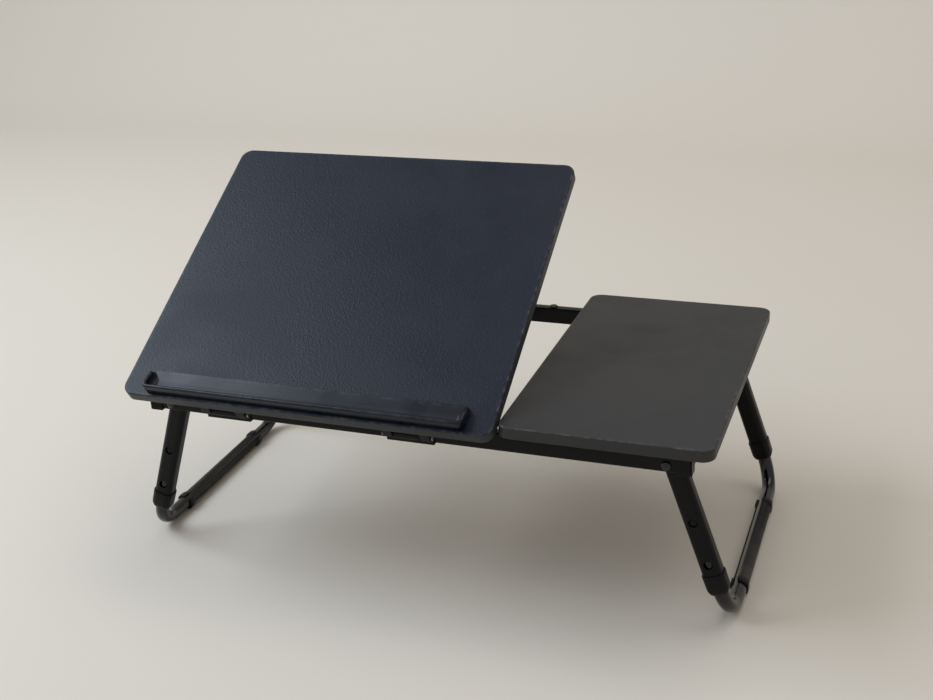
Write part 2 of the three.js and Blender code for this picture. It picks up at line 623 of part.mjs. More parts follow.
// The tilting group turns about the hinge pins; its pieces are placed as they lie when flat.
function makeTiltGroup() {
  const flat = group(
    makeTiltingPanel(),
    makeLedge(),
    ...TILT_HINGE_X.map((x, i) => makeHingeLeaf(`${['left', 'right'][i]}_hinge_leaf`, x)),
    makeStayClip('left_stay_clip', -1),
    makeStayClip('right_stay_clip', 1),
  );
  const rods = [makeStayRod('stay_pivot_rod', 0), makeStayRod('stay_foot_rod', STAY_LENGTH)];
  const stay = group(makeStayArm(), ...rods);
  stay.position.set(0, CLIP_Y, CLIP_Z);
  stay.rotation.x = -2 * rad(TILT_DEG) - STAY_LEAN;
  flat.add(stay);
  flat.position.set(0, -TILT_AXIS_Y, -TILT_AXIS_Z);
  const tilt = group(flat);
  tilt.position.set(0, TILT_AXIS_Y, TILT_AXIS_Z);
  tilt.rotation.x = rad(TILT_DEG);
  return tilt;
}

const table = group(makeFrame(), makeTiltGroup(), makeLegSet('left', -1), makeLegSet('right', 1));

// The origin is the middle of the whole outline on the floor, tilted panel and book stop included.
const outline = new THREE.Box3().setFromObject(table, true);
table.position.set(0, -(outline.min.y + outline.max.y) / 2, -outline.min.z);

export default table;
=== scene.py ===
"""Looks of the folding tray table: boards, book stop, tube frame, tilt stay and folding legs.

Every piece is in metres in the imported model's frame: +X towards the side panel, -Y towards the
user, +Z up, with the floor at zero.
"""

import json
import logging
import math
from dataclasses import dataclass, field
from enum import Enum

import bmesh
import bpy
import numpy as np
from mathutils import Matrix, Vector


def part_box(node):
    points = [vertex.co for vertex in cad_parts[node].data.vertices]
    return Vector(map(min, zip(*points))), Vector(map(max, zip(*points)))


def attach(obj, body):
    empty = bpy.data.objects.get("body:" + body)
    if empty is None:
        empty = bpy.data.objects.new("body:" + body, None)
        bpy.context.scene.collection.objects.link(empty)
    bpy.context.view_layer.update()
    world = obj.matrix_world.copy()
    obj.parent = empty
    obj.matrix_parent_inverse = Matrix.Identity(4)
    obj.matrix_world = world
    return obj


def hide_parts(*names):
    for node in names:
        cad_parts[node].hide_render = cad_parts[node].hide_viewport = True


LOG = logging.getLogger("tray_table")
BOARD_THICKNESS = 0.012

Array = np.ndarray


# ---------------------------------------------------------------- surfaces


def rounded_outline(width: float, height: float, radius: float, per_corner: int = 8) -> Array:
    """Outline of a rounded rectangle: four quarter circles round the corners' centres.

    Args:
        width: full size along the first axis.
        height: full size along the second axis.
        radius: corner radius.
        per_corner: steps on each quarter circle.

    Returns:
        (N, 2) points, anticlockwise.
    """
    radius = min(radius, width / 2 - 1e-6, height / 2 - 1e-6)
    turn = np.linspace(0.0, math.pi / 2, per_corner + 1)
    corners = np.array([[1, 1], [-1, 1], [-1, -1], [1, -1]], float)
    centres = corners * [width / 2 - radius, height / 2 - radius]
    angle = turn[None, :] + (np.arange(4) * math.pi / 2)[:, None]
    ring = np.stack([np.cos(angle), np.sin(angle)], axis=-1) * radius
    return (centres[:, None, :] + ring).reshape(-1, 2)


def rim_profile(depth: float, radius: float, steps: int = 4) -> Array:
    """Side profile of a slab with rounded rims, from its lower face up to its upper face.

    Each rim is a quarter circle: inset = r - r sin a, height = r - r cos a.

    Args:
        depth: thickness of the slab.
        radius: radius of both rims.
        steps: steps on each quarter circle.

    Returns:
        (M, 2) rows of (inset from the outline, height).
    """
    a = np.linspace(0.0, math.pi / 2, steps + 1)
    low = np.stack([radius - radius * np.sin(a), radius - radius * np.cos(a)], axis=1)
    high = low[::-1] * [1, -1] + [0, depth]
    return np.concatenate([low, high])


def make_mesh(
    name: str, points: Array, faces: list[tuple[int, ...]], sharp_deg: float = 40.0
) -> bpy.types.Object:
    """Puts points and faces into a new object at the origin, shaded smooth below an angle.

    Args:
        name: the object's name.
        points: (K, 3) vertices in metres.
        faces: vertex indices of each face.
        sharp_deg: edges that turn more than this stay sharp.

    Returns:
        The linked object.
    """
    mesh = bpy.data.meshes.new(name)
    mesh.from_pydata(points.astype(float), [], faces)
    mesh.polygons.foreach_set("use_smooth", np.ones(len(mesh.polygons), bool))
    mesh.update()
    mesh.set_sharp_from_angle(angle=math.radians(sharp_deg))
    made = bpy.data.objects.new(name, mesh)
    bpy.context.scene.collection.objects.link(made)
    return made


def set_marks(made: bpy.types.Object, marks: dict[str, Array]) -> None:
    """Stores one number per vertex under each name, for materials to read.

    Args:
        made: the piece.
        marks: attribute name to its values.
    """
    for label, values in marks.items():
        attribute = made.data.attributes.new(label, "FLOAT", "POINT")
        attribute.data.foreach_set("value", values.astype(np.float32))


def loft(
    name: str,
    loops: Array,
    ring: bool = False,
    marks: dict[str, Array] | None = None,
    sharp_deg: float = 40.0,
) -> bpy.types.Object:
    """Joins a stack of equal loops with quads: point (i, j) meets (i + 1, j) and (i, j + 1).

    Args:
        name: the object's name.
        loops: (M, N, 3) points, each loop closed.
        ring: whether the last loop joins the first, as on a hollow tube; if not, both ends
            are closed by a fan round their middle.
        marks: attribute name to one value per loop.
        sharp_deg: edges that turn more than this stay sharp.

    Returns:
        The closed object, with its faces pointing out.
    """
    count, around = loops.shape[:2]
    points = loops.reshape(-1, 3)
    rows = np.arange(count if ring else count - 1)
    i, j = np.meshgrid(rows, np.arange(around), indexing="ij")
    up, right = (i + 1) % count, (j + 1) % around
    corners = [i * around + j, i * around + right, up * around + right, up * around + j]
    quads = np.stack(corners, axis=-1).reshape(-1, 4)
    a, b, c, d = (points[quads[:, k]] for k in range(4))
    volume = np.einsum("ij,ij->", a, np.cross(b, c)) + np.einsum("ij,ij->", a, np.cross(c, d))
    values = {label: np.repeat(v, around) for label, v in (marks or {}).items()}
    fans = np.zeros((0, 3), int)
    if not ring:
        j = np.arange(around)
        first, last = count * around, count * around + 1
        top = (count - 1) * around
        fans = np.concatenate([
            np.stack([(j + 1) % around, j, np.full(around, first)], axis=1),
            np.stack([top + j, top + (j + 1) % around, np.full(around, last)], axis=1),
        ])
        points = np.concatenate([points, loops[[0, -1]].mean(axis=1)])
        a, b, c = (points[fans[:, k]] for k in range(3))
        volume += np.einsum("ij,ij->", a, np.cross(b, c))
        values = {label: np.concatenate([v, v[[0, -1]]]) for label, v in values.items()}
    if volume < 0:
        quads, fans = quads[:, ::-1], fans[:, ::-1]
    made = make_mesh(name, points, [*map(tuple, quads.tolist()), *map(tuple, fans.tolist())], sharp_deg)
    set_marks(made, values)
    return made


def carry(section: Array, path: Array, tangents: Array, across: Array) -> Array:
    """Carries a flat section along a path: point = path + u across + v (tangent x across).

    Args:
        section: (N, 2) outline.
        path: (M, 3) centre line.
        tangents: (M, 3) unit directions along it.
        across: unit vector that stays square to the path.

    Returns:
        (M, N, 3) loops.
    """
    normal = np.cross(tangents, across)
    u, v = section[None, :, 0, None], section[None, :, 1, None]
    return path[:, None, :] + u * across[None, None, :] + v * normal[:, None, :]


@dataclass(frozen=True)
class Placement:
    """Turns local points and moves them to their place."""

    origin: tuple[float, float, float] = (0.0, 0.0, 0.0)
    axes: tuple[tuple[float, float, float], ...] = ((1, 0, 0), (0, 1, 0), (0, 0, 1))

    def points(self, local: Array) -> Array:
        """World points: origin plus each local coordinate times its axis."""
        return local @ np.array(self.axes, float) + np.array(self.origin, float)

    @staticmethod
    def turned(origin: Vector, axis: str, angle: float) -> "Placement":
        """A placement at origin, turned about one world axis by an angle in radians."""
        turn = np.array(Matrix.Rotation(angle, 3, axis)).T
        return Placement(tuple(origin), tuple(map(tuple, turn)))


def softened_copy(node: str, width: float, name: str | None = None, segments: int = 3) -> bpy.types.Object:
    """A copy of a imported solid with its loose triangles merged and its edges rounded.

    Args:
        node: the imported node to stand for.
        width: the rounding's width in metres.
        name: the copy's name; the node's own name with an ending if left out.
        segments: steps on the rounding.

    Returns:
        The finished copy, standing for the node.
    """
    made = bpy.data.objects.new(name or f"{node}_shape", frame_nodes()[node].data.copy())
    bpy.context.scene.collection.objects.link(made)
    work = bmesh.new()
    work.from_mesh(made.data)
    bmesh.ops.remove_doubles(work, verts=work.verts, dist=2e-6)
    bmesh.ops.dissolve_limit(work, angle_limit=math.radians(1.0), verts=work.verts, edges=work.edges)
    work.to_mesh(made.data)
    work.free()
    made.data.polygons.foreach_set("use_smooth", np.ones(len(made.data.polygons), bool))
    made.data.update()
    made.data.set_sharp_from_angle(angle=math.radians(50))
    bevel = made.modifiers.new("rounding", "BEVEL")
    bevel.width = width
    bevel.segments = segments
    bevel.limit_method = "ANGLE"
    bevel.angle_limit = math.radians(50)
    bevel.harden_normals = True
    bevel.use_clamp_overlap = True
    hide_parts(node)
    return made


def frame_nodes() -> dict[str, bpy.types.Object]:
    """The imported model's nodes by name."""
    return FRAME["nodes"]


# ---------------------------------------------------------------- finishes


class NodeGroups:
    """Shader groups that several finishes share, each built once."""

    def __init__(self) -> None:
        """Builds the groups."""
        self.grain = self._grain()
        self.marks = self._marks()
        self.dust = self._dust()

    @staticmethod
    def _start(
        name: str, inputs: dict[str, tuple[str, float]], outputs: dict[str, str]
    ) -> bpy.types.NodeTree:
        """Makes an empty group with named sockets.

        Args:
            name: the group's name.
            inputs: socket name to its type and default.
            outputs: socket name to its type.

        Returns:
            The group.
        """
        tree = bpy.data.node_groups.new(name, "ShaderNodeTree")
        for label, (kind, default) in inputs.items():
            socket = tree.interface.new_socket(label, in_out="INPUT", socket_type=kind)
            if kind == "NodeSocketFloat":
                socket.default_value = default
        for label, kind in outputs.items():
            tree.interface.new_socket(label, in_out="OUTPUT", socket_type=kind)
        tree.nodes.new("NodeGroupInput")
        tree.nodes.new("NodeGroupOutput")
        return tree

    def _grain(self) -> bpy.types.NodeTree:
        """Pebbled grain: soft cells at one scale broken up by finer noise, as a height."""
        tree = self._start(
            "pebble_grain",
            {
                "Vector": ("NodeSocketVector", 0),
                "Scale": ("NodeSocketFloat", 1500),
                "Fine": ("NodeSocketFloat", 0.4),
            },
            {"Height": "NodeSocketFloat"},
        )
        enter, leave = tree.nodes["Group Input"], tree.nodes["Group Output"]
        cells = tree.nodes.new("ShaderNodeTexVoronoi")
        cells.feature = "SMOOTH_F1"
        cells.inputs["Smoothness"].default_value = 0.6
        noise = tree.nodes.new("ShaderNodeTexNoise")
        noise.inputs["Detail"].default_value = 3.0
        double = tree.nodes.new("ShaderNodeMath")
        double.operation = "MULTIPLY"
        double.inputs[1].default_value = 1.7
        weigh = tree.nodes.new("ShaderNodeMath")
        weigh.operation = "MULTIPLY_ADD"
        link = tree.links.new
        link(enter.outputs["Vector"], cells.inputs["Vector"])
        link(enter.outputs["Vector"], noise.inputs["Vector"])
        link(enter.outputs["Scale"], cells.inputs["Scale"])
        link(enter.outputs["Scale"], double.inputs[0])
        link(double.outputs[0], noise.inputs["Scale"])
        link(noise.outputs["Fac"], weigh.inputs[0])
        link(enter.outputs["Fine"], weigh.inputs[1])
        link(cells.outputs["Distance"], weigh.inputs[2])
        link(weigh.outputs[0], leave.inputs["Height"])
        return tree

    def _marks(self) -> bpy.types.NodeTree:
        """Handling marks: broad cloudy smudges, as a mask from none to full."""
        tree = self._start(
            "handling_marks",
            {
                "Vector": ("NodeSocketVector", 0),
                "Scale": ("NodeSocketFloat", 9),
                "Amount": ("NodeSocketFloat", 1),
            },
            {"Mask": "NodeSocketFloat"},
        )
        enter, leave = tree.nodes["Group Input"], tree.nodes["Group Output"]
        cloud = tree.nodes.new("ShaderNodeTexNoise")
        cloud.inputs["Detail"].default_value = 5.0
        cloud.inputs["Distortion"].default_value = 0.6
        spread = tree.nodes.new("ShaderNodeMapRange")
        spread.inputs["From Min"].default_value = 0.42
        spread.inputs["From Max"].default_value = 0.68
        scale = tree.nodes.new("ShaderNodeMath")
        scale.operation = "MULTIPLY"
        link = tree.links.new
        link(enter.outputs["Vector"], cloud.inputs["Vector"])
        link(enter.outputs["Scale"], cloud.inputs["Scale"])
        link(cloud.outputs["Fac"], spread.inputs["Value"])
        link(spread.outputs["Result"], scale.inputs[0])
        link(enter.outputs["Amount"], scale.inputs[1])
        link(scale.outputs[0], leave.inputs["Mask"])
        return tree

    def _dust(self) -> bpy.types.NodeTree:
        """Dust: sparse pale specks a fraction of a millimetre across, as a mask."""
        tree = self._start(
            "settled_dust",
            {
                "Vector": ("NodeSocketVector", 0),
                "Scale": ("NodeSocketFloat", 260),
                "Amount": ("NodeSocketFloat", 0.3),
            },
            {"Mask": "NodeSocketFloat"},
        )
        enter, leave = tree.nodes["Group Input"], tree.nodes["Group Output"]
        specks = tree.nodes.new("ShaderNodeTexVoronoi")
        near = tree.nodes.new("ShaderNodeMapRange")
        near.inputs["From Min"].default_value = 0.13
        near.inputs["From Max"].default_value = 0.04
        rare = tree.nodes.new("ShaderNodeMath")
        rare.operation = "GREATER_THAN"
        rare.inputs[1].default_value = 0.82
        part = tree.nodes.new("ShaderNodeSeparateColor")
        both = tree.nodes.new("ShaderNodeMath")
        both.operation = "MULTIPLY"
        scale = tree.nodes.new("ShaderNodeMath")
        scale.operation = "MULTIPLY"
        link = tree.links.new
        link(enter.outputs["Vector"], specks.inputs["Vector"])
        link(enter.outputs["Scale"], specks.inputs["Scale"])
        link(specks.outputs["Distance"], near.inputs["Value"])
        link(specks.outputs["Color"], part.inputs["Color"])
        link(part.outputs["Red"], rare.inputs[0])
        link(near.outputs["Result"], both.inputs[0])
        link(rare.outputs[0], both.inputs[1])
        link(both.outputs[0], scale.inputs[0])
        link(enter.outputs["Amount"], scale.inputs[1])
        link(scale.outputs[0], leave.inputs["Mask"])
        return tree


class Slot(Enum):
    """The record's material slots."""

    LAMINATE = "laminate_board"
    PAINT = "black_paint"
    GLOSS_PAINT = "gloss_black_paint"
    STEEL = "bare_steel"
    PLASTIC = "black_plastic"
    RUBBER = "black_rubber"


@dataclass(frozen=True)
class Finish:
    """One procedural finish: base colour, gloss, grain, handling marks, dust, an edge colour that is a painted
    reflection on the tilting board, and a rim colour that is wear on board and screw rims and a painted highlight
    on the book stop's crest.
    """

    name: str
    slot: Slot
    colour: tuple[float, float, float]
    marked_colour: tuple[float, float, float]
    roughness: float
    marked_roughness: float
    specular: float = 0.5
    metallic: float = 0.0
    coat: float = 0.0
    coat_roughness: float = 0.1
    grain_scale: float = 1500.0
    grain_depth: float = 0.00004
    grain_strength: float = 0.5
    marks_scale: float = 9.0
    dust: float = 0.15
    rim_wear_and_highlight_colour: tuple[float, float, float] = (0.05, 0.05, 0.05)
    edge_tone_and_sheen_colour: tuple[float, float, float] | None = None

    def build(self, groups: NodeGroups) -> bpy.types.Material:
        """Makes the material.

        Args:
            groups: the shared shader groups.

        Returns:
            The finished material.
        """
        material = bpy.data.materials.new(self.name)
        material.use_nodes = True
        tree = material.node_tree
        shader = tree.nodes["Principled BSDF"]
        shader.inputs["Metallic"].default_value = self.metallic
        shader.inputs["Specular IOR Level"].default_value = self.specular
        shader.inputs["Coat Weight"].default_value = self.coat
        shader.inputs["Coat Roughness"].default_value = self.coat_roughness
        where = tree.nodes.new("ShaderNodeTexCoord").outputs["Object"]
        marks = self._group(tree, groups.marks, where, Scale=self.marks_scale, Amount=1.0)
        dust = self._group(tree, groups.dust, where, Scale=260.0, Amount=self.dust)
        grain = self._group(tree, groups.grain, where, Scale=self.grain_scale, Fine=0.4)
        colour = self._mix(tree, marks.outputs["Mask"], self.colour, self.marked_colour)
        # Edge faces take the edge colour; on the tilting board it is a painted reflection, the lighter band its
        # edge catches. The seam is a dark joint line.
        if self.edge_tone_and_sheen_colour:
            colour = self._mix(tree, self._mark(tree, "edge_face"), colour, self.edge_tone_and_sheen_colour)
            colour = self._mix(tree, self._mark(tree, "seam"), colour, (0.003, 0.003, 0.003))
        # Rims take the rim colour: rubbed wear on board and screw rims, a painted highlight along the book stop's
        # crest.
        colour = self._mix(tree, self._rim_wear_and_highlight(tree, where), colour, self.rim_wear_and_highlight_colour)
        colour = self._mix(tree, dust.outputs["Mask"], colour, (0.35, 0.34, 0.32))
        tree.links.new(colour, shader.inputs["Base Color"])
        rough = tree.nodes.new("ShaderNodeMapRange")
        rough.inputs["To Min"].default_value = self.roughness
        rough.inputs["To Max"].default_value = self.marked_roughness
        tree.links.new(marks.outputs["Mask"], rough.inputs["Value"])
        tree.links.new(rough.outputs["Result"], shader.inputs["Roughness"])
        bump = tree.nodes.new("ShaderNodeBump")
        bump.inputs["Strength"].default_value = self.grain_strength
        bump.inputs["Distance"].default_value = self.grain_depth
        tree.links.new(grain.outputs["Height"], bump.inputs["Height"])
        tree.links.new(bump.outputs["Normal"], shader.inputs["Normal"])
        return material

    @staticmethod
    def _group(
        tree: bpy.types.NodeTree, group: bpy.types.NodeTree, where: bpy.types.NodeSocket, **values: float
    ) -> bpy.types.Node:
        """Places a shared group, feeds it the coordinates and sets its values."""
        node = tree.nodes.new("ShaderNodeGroup")
        node.node_tree = group
        tree.links.new(where, node.inputs["Vector"])
        for label, value in values.items():
            node.inputs[label].default_value = value
        return node

    @staticmethod
    def _mix(
        tree: bpy.types.NodeTree,
        mask: bpy.types.NodeSocket,
        first: bpy.types.NodeSocket | tuple[float, float, float],
        second: tuple[float, float, float],
    ) -> bpy.types.NodeSocket:
        """Colour that runs from the first to the second by a mask."""
        node = tree.nodes.new("ShaderNodeMix")
        node.data_type = "RGBA"
        tree.links.new(mask, node.inputs["Factor"])
        if isinstance(first, tuple):
            node.inputs["A"].default_value = (*first, 1.0)
        else:
            tree.links.new(first, node.inputs["A"])
        node.inputs["B"].default_value = (*second, 1.0)
        return node.outputs["Result"]

    @staticmethod
    def _mark(tree: bpy.types.NodeTree, label: str) -> bpy.types.NodeSocket:
        """The value stored on the mesh under that name."""
        node = tree.nodes.new("ShaderNodeAttribute")
        node.attribute_name = label
        return node.outputs["Fac"]

    def _rim_wear_and_highlight(self, tree: bpy.types.NodeTree, where: bpy.types.NodeSocket) -> bpy.types.NodeSocket:
        """Mask of rims, the rim mark broken up by noise: rubbed wear on board and screw rims, a painted highlight
        on the book stop's crest.
        """
        noise = tree.nodes.new("ShaderNodeTexNoise")
        noise.inputs["Scale"].default_value = 120.0
        noise.inputs["Detail"].default_value = 4.0
        tree.links.new(where, noise.inputs["Vector"])
        spread = tree.nodes.new("ShaderNodeMapRange")
        spread.inputs["From Min"].default_value = 0.45
        spread.inputs["From Max"].default_value = 0.7
        tree.links.new(noise.outputs["Fac"], spread.inputs["Value"])
        node = tree.nodes.new("ShaderNodeMath")
        node.operation = "MULTIPLY"
        tree.links.new(spread.outputs["Result"], node.inputs[0])
        tree.links.new(self._mark(tree, "rim"), node.inputs[1])
        return node.outputs[0]


FINISHES = (
    # Tilting board: the blue cast of its base colour is painted sheen, the bluish window light the tilted board
    # reflects; its light edge colour is a painted reflection along the edge.
    Finish(
        "tilting_laminate", Slot.LAMINATE, (0.0050, 0.0080, 0.0185), (0.0075, 0.0110, 0.0225),
        0.38, 0.48, specular=0.25,
        grain_scale=480.0, grain_depth=0.00020, grain_strength=0.9, marks_scale=9.0, dust=0.22,
        rim_wear_and_highlight_colour=(0.06, 0.062, 0.066), edge_tone_and_sheen_colour=(0.03, 0.032, 0.037),
    ),
    Finish(
        "side_laminate", Slot.LAMINATE, (0.0096, 0.0102, 0.0138), (0.0172, 0.0178, 0.0208),
        0.44, 0.56, specular=0.42,
        grain_scale=560.0, grain_depth=0.00012, grain_strength=0.7, marks_scale=12.0, dust=0.25,
        rim_wear_and_highlight_colour=(0.06, 0.06, 0.06), edge_tone_and_sheen_colour=(0.018, 0.018, 0.019),
    ),
    Finish(
        "satin_paint", Slot.PAINT, (0.0014, 0.0014, 0.0020), (0.0022, 0.0022, 0.0028),
        0.33, 0.44, specular=0.17,
        grain_scale=700.0, grain_depth=0.00003, grain_strength=0.25, marks_scale=25.0, dust=0.06,
        rim_wear_and_highlight_colour=(0.012, 0.012, 0.013),
    ),
    Finish(
        "gloss_paint", Slot.GLOSS_PAINT, (0.0014, 0.0014, 0.0020), (0.0022, 0.0022, 0.0028),
        0.16, 0.26, specular=0.30,
        coat=0.35, coat_roughness=0.08,
        grain_scale=500.0, grain_depth=0.00002, grain_strength=0.12, marks_scale=30.0, dust=0.05,
        rim_wear_and_highlight_colour=(0.01, 0.01, 0.012),
    ),
    # Book stop finish: its light blue-grey rim colour is a painted highlight along the wall's crest.
    Finish(
        "soft_plastic", Slot.PLASTIC, (0.0036, 0.0050, 0.0110), (0.005, 0.0068, 0.0135),
        0.25, 0.34, specular=0.27,
        grain_scale=900.0, grain_depth=0.00003, grain_strength=0.15, marks_scale=18.0, dust=0.12,
        rim_wear_and_highlight_colour=(0.040, 0.045, 0.055),
    ),
    Finish(
        "moulded_plastic", Slot.PLASTIC, (0.0018, 0.0018, 0.0025), (0.0030, 0.0030, 0.0036),
        0.40, 0.50, specular=0.18,
        grain_scale=1600.0, grain_depth=0.00003, grain_strength=0.3, marks_scale=30.0, dust=0.08,
        rim_wear_and_highlight_colour=(0.014, 0.014, 0.015),
    ),
    Finish(
        "matt_rubber", Slot.RUBBER, (0.0024, 0.0024, 0.0030), (0.0036, 0.0036, 0.0042),
        0.36, 0.48, specular=0.24,
        grain_scale=1200.0, grain_depth=0.00004, grain_strength=0.35, marks_scale=40.0, dust=0.12,
        rim_wear_and_highlight_colour=(0.015, 0.015, 0.016),
    ),
    Finish(
        "zinc_steel", Slot.STEEL, (0.42, 0.42, 0.43), (0.3, 0.3, 0.31),
        0.32, 0.5, metallic=1.0,
        grain_scale=900.0, grain_depth=0.00002, grain_strength=0.25, marks_scale=60.0, dust=0.0,
        rim_wear_and_highlight_colour=(0.5, 0.5, 0.5),
    ),
    Finish(
        "black_screw", Slot.STEEL, (0.01, 0.01, 0.011), (0.02, 0.02, 0.02),
        0.3, 0.45, metallic=0.6,
        grain_scale=900.0, grain_depth=0.00002, grain_strength=0.25, marks_scale=60.0, dust=0.0,
        rim_wear_and_highlight_colour=(0.05, 0.05, 0.05),
    ),
)


class Palette:
    """Builds every finish once and dresses pieces with them."""

    def __init__(self) -> None:
        """Builds the shared groups and the finishes."""
        groups = NodeGroups()
        self.finishes = {finish.name: finish for finish in FINISHES}
        self.materials = {finish.name: finish.build(groups) for finish in FINISHES}

    def dress(self, made: bpy.types.Object, finish: str, body: str) -> bpy.types.Object:
        """Gives a piece its finish and the body it moves with.

        Args:
            made: the piece.
            finish: a finish's name.
            body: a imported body's name.

        Returns:
            The same piece.
        """
        made.data.materials.clear()
        made.data.materials.append(self.materials[finish])
        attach(made, body)
        LOG.info("%s: %d vertices, %s, rides on %s", made.name, len(made.data.vertices), finish, body)
        return made


# ---------------------------------------------------------------- the object


@dataclass
class Datum:
    """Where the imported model's main lines lie."""

    table_top: float = 0.0
    middle_y: float = 0.0
    tilt_axis: Vector = field(default_factory=Vector)
    leg_pivots: dict[str, Vector] = field(default_factory=dict)
    tilt: float = math.radians(30.0)
    splay: float = math.radians(18.9)

    def __post_init__(self) -> None:
        """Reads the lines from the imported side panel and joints."""
        low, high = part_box("side_panel")
        self.table_top = high.z
        self.middle_y = (low.y + high.y) / 2
        places = {joint["name"]: joint.get("pos_m") for joint in FRAME["joints"]}
        self.tilt_axis = Vector(places["panel_tilt"])
        self.leg_pivots = {side: Vector(places[f"{side}_leg_fold"]) for side in ("left", "right")}

    def tilted(self) -> Placement:
        """Local axes of the tilting panel, with the origin on the tilt axis."""
        return Placement.turned(self.tilt_axis, "X", self.tilt)

    def leg(self, side: str) -> Placement:
        """Local axes of a leg set, with the origin on its pivot line and -Z along the leg."""
        sign = 1 if side == "right" else -1
        pivot = self.leg_pivots[side]
        return Placement.turned(Vector((pivot.x, self.middle_y, pivot.z)), "Y", -sign * self.splay)


@dataclass
class Board:
    """A laminated board with rounded corners and slightly rounded rims."""

    width: float
    depth: float = 0.360
    thickness: float = 0.012
    corner: float = 0.013
    rim: float = 0.0011

    def build(self, name: str, centre: tuple[float, float, float], place: Placement) -> bpy.types.Object:
        """Stacks inset outlines from the lower face up to the upper one.

        The top face is also divided by inner loops, so that its shading stays flat.

        Args:
            name: the piece's name.
            centre: middle of the lower face in local axes.
            place: the local axes.

        Returns:
            The board.
        """
        profile = rim_profile(self.thickness, self.rim, 5)
        inner = np.array([0.0035, 0.012, 0.04])
        low = np.stack([inner[::-1], np.zeros(3)], axis=1)
        high = np.stack([inner, np.full(3, self.thickness)], axis=1)
        profile = np.concatenate([low, profile, high])
        loops = []
        for inset, height in profile:
            radius = max(self.corner - inset, 0.001)
            outline = rounded_outline(self.width - 2 * inset, self.depth - 2 * inset, radius, 12)
            loops.append(np.concatenate([outline, np.full((len(outline), 1), height)], axis=1))
        points = place.points(np.array(loops) + np.array(centre))
        inset, height = profile.T
        between = (height > 0.6 * self.rim) & (height < self.thickness - 0.6 * self.rim)
        on_side = (inset < 0.55 * self.rim) & between
        on_rim = (inset <= self.rim) & ~on_side
        seam = on_rim & (np.abs(inset - 0.25 * self.rim) < 0.22 * self.rim)
        marks = {"edge_face": on_side.astype(float), "seam": 0.8 * seam, "rim": on_rim.astype(float)}
        return loft(name, points, marks=marks)


@dataclass
class Boards:
    """The fixed side panel and the tilting panel."""

    datum: Datum
    palette: Palette

    def build(self) -> None:
        """Builds and dresses both boards in place of their plain solids."""
        low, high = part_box("side_panel")
        side = Board(high.x - low.x)
        made = side.build("side_board", ((low.x + high.x) / 2, self.datum.middle_y, low.z), Placement())
        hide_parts("side_panel")
        self.palette.dress(made, "side_laminate", "frame")
        low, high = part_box("tilting_panel")
        drop = self.datum.table_top - self.datum.tilt_axis.z
        forward = self.datum.middle_y - self.datum.tilt_axis.y
        tilting = Board(high.x - low.x)
        centre = ((low.x + high.x) / 2, forward, drop - BOARD_THICKNESS)
        made = tilting.build("tilting_board", centre, self.datum.tilted())
        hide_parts("tilting_panel")
        self.palette.dress(made, "tilting_laminate", "tilt_panel")


@dataclass
class BookStop:
    """The moulded stop along the tilting panel's lower edge: a thin flange with a raised rounded wall."""

    datum: Datum
    palette: Palette
    length: float = 0.358
    depth: float = 0.029
    height: float = 0.012
    wall: float = 0.0040
    corner: float = 0.0062
    start: float = 0.0035
    flange: float = 0.0004
    fillet: float = 0.0070

    def crest(self, s: Array) -> Array:
        """Height of the wall by distance from the front: level, then a smooth drop to the flange behind.

        Args:
            s: distances from the front edge.

        Returns:
            The wall's height at each distance.
        """
        t = np.clip((s - (self.depth - 0.0085)) / 0.006, 0.0, 1.0)
        return self.flange + (self.height - self.flange) * (1 - t * t * (3 - 2 * t))

    def build(self) -> None:
        """Lofts the stop: up the outside, over a half-round crest, down to the flange.

        Each loop is the rounded outline drawn in by an inset. Its height runs from the flange to
        the wall's local height by a share, so the wall fades out along the back edge. The local
        height is read on the full outline and holds for the whole section there. Inside the crest
        the section is a quarter ellipse down to the flange.
        """
        a = np.linspace(0.0, math.pi, 13)
        round_over = self.wall / 2
        b = np.linspace(0.0, math.pi / 2, 10)[1:]
        inset = np.concatenate([
            [0.0012, 0.0002, 0.0],
            round_over * (1 - np.cos(a)),
            self.wall + self.fillet * (1 - np.cos(b)),
        ])
        drop = np.concatenate([
            [self.height, self.height - 0.0002, self.height - 0.001],
            round_over * (1 - np.sin(a)),
            round_over + (self.height - self.flange - round_over) * np.sin(b),
        ])
        share = 1 - drop / self.height
        across = np.array([
            rounded_outline(self.length - 2 * d, self.depth - 2 * d, max(self.corner - 0.7 * d, 0.002), 12)
            for d in inset
        ])
        crest = self.crest(across[2, :, 1] + self.depth / 2)
        inside = np.arange(len(inset)) > 3
        level = share[:, None] * crest
        level = np.where(inside[:, None], np.maximum(level, self.flange), level)
        level[0] = 0.0
        low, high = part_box("tilting_panel")
        forward = self.datum.middle_y - self.datum.tilt_axis.y - 0.180 + self.start + self.depth / 2
        lift = self.datum.table_top - self.datum.tilt_axis.z + 0.0002
        local = np.concatenate([across, level[..., None]], axis=-1) + [(low.x + high.x) / 2, forward, lift]
        # The wall's crest is marked as rim, so the rim colour paints a highlight along it.
        marks = {"rim": 0.5 * ((inset > 0.0004) & (inset < self.wall - 0.0004))}
        made = loft("book_stop", self.datum.tilted().points(local), marks=marks, sharp_deg=75.0)
        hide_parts("book_stop_ledge")
        self.palette.dress(made, "soft_plastic", "tilt_panel")


